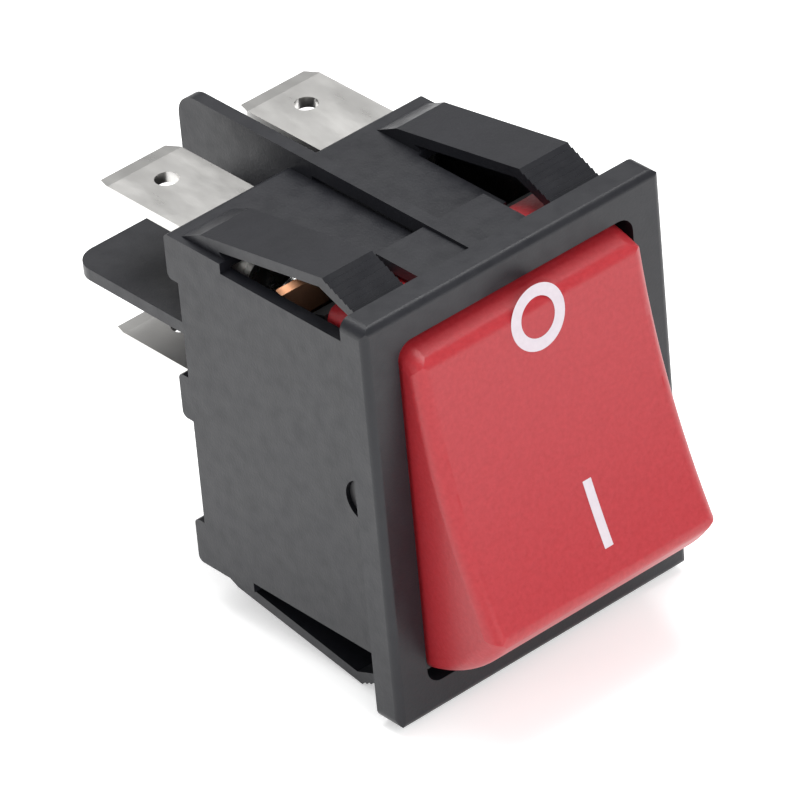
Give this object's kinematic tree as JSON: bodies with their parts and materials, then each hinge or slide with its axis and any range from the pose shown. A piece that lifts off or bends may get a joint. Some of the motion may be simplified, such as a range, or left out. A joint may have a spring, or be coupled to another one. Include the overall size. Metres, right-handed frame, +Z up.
{
  "type": "panel rocker switch",
  "caption": "Illuminated snap-in panel rocker switch: square-shouldered bezel, hollow-faced tilting lens, see-saw contacts, serrated clips and blade tabs.",
  "frame": {"origin": "centre of the panel cut-out, on the bezel's rear face", "axes": "+X to the right seen from the front, +Y from the front into the panel, +Z up (the O end of the rocker is up)"},
  "size_m": [0.0252, 0.0387, 0.0314],
  "materials": {
    "housing": "fine satin moulding",
    "lens": "translucent red, finely grained",
    "diffuser": "milky",
    "carrier": "satin moulding",
    "lamp_glass": "clear",
    "lead_wire": "tinned",
    "resistor_body": "lacquered",
    "plunger_brass": "turned",
    "spring_steel": "drawn wire",
    "lever_copper": "stamped strip",
    "contact_silver": "fine silver",
    "tab_tin": "bright tinned"
  },
  "bodies": {
    "housing_body": {"housing": "housing", "common_terminal_left": "tab_tin", "common_terminal_right": "tab_tin", "switched_terminal_left": "tab_tin", "switched_terminal_right": "tab_tin", "fixed_contact_left": "contact_silver", "fixed_contact_right": "contact_silver"},
    "rocker_body": {"rocker_lens": "lens", "light_diffuser": "diffuser", "rocker_carrier": "carrier", "neon_glass": "lamp_glass", "neon_electrode_left": "lead_wire", "neon_electrode_right": "lead_wire", "resistor": "resistor_body", "resistor_lead_inner": "lead_wire", "resistor_lead_outer": "lead_wire", "plunger_spring_left": "spring_steel", "plunger_spring_right": "spring_steel"},
    "lever_left_body": {"contact_lever_left": "lever_copper", "lever_contact_left": "contact_silver"},
    "lever_right_body": {"contact_lever_right": "lever_copper", "lever_contact_right": "contact_silver"},
    "plunger_left_body": {"plunger_left": "plunger_brass"},
    "plunger_right_body": {"plunger_right": "plunger_brass"}
  },
  "joints": [
    {"name": "rocker_tilt", "type": "hinge", "parent": "housing_body", "child": "rocker_body", "pos_m": [0, 0.00155, 0], "axis": [1, 0, 0], "range_deg": [0, 32]},
    {"name": "lever_left_tilt", "type": "hinge", "parent": "housing_body", "child": "lever_left_body", "pos_m": [-0.006, 0.01295, 0.00035], "axis": [1, 0, 0], "range_deg": [-18, 0]},
    {"name": "lever_right_tilt", "type": "hinge", "parent": "housing_body", "child": "lever_right_body", "pos_m": [0.006, 0.01295, 0.00035], "axis": [1, 0, 0], "range_deg": [-18, 0]},
    {"name": "plunger_left_slide", "type": "slide", "parent": "rocker_body", "child": "plunger_left_body", "axis": [0, -0.9613, 0.2756], "range_m": [0, 0.001], "stiffness_N_per_m": 400, "springref_m": -0.003, "deforming": ["plunger_spring_left"]},
    {"name": "plunger_right_slide", "type": "slide", "parent": "rocker_body", "child": "plunger_right_body", "axis": [0, -0.9613, 0.2756], "range_m": [0, 0.001], "stiffness_N_per_m": 400, "springref_m": -0.003, "deforming": ["plunger_spring_right"]}
  ],
  "couplings": [
    {"joint": "lever_left_tilt", "follows": "rocker_tilt", "ratio": -0.5625},
    {"joint": "lever_right_tilt", "follows": "rocker_tilt", "ratio": -0.5625}
  ]
}
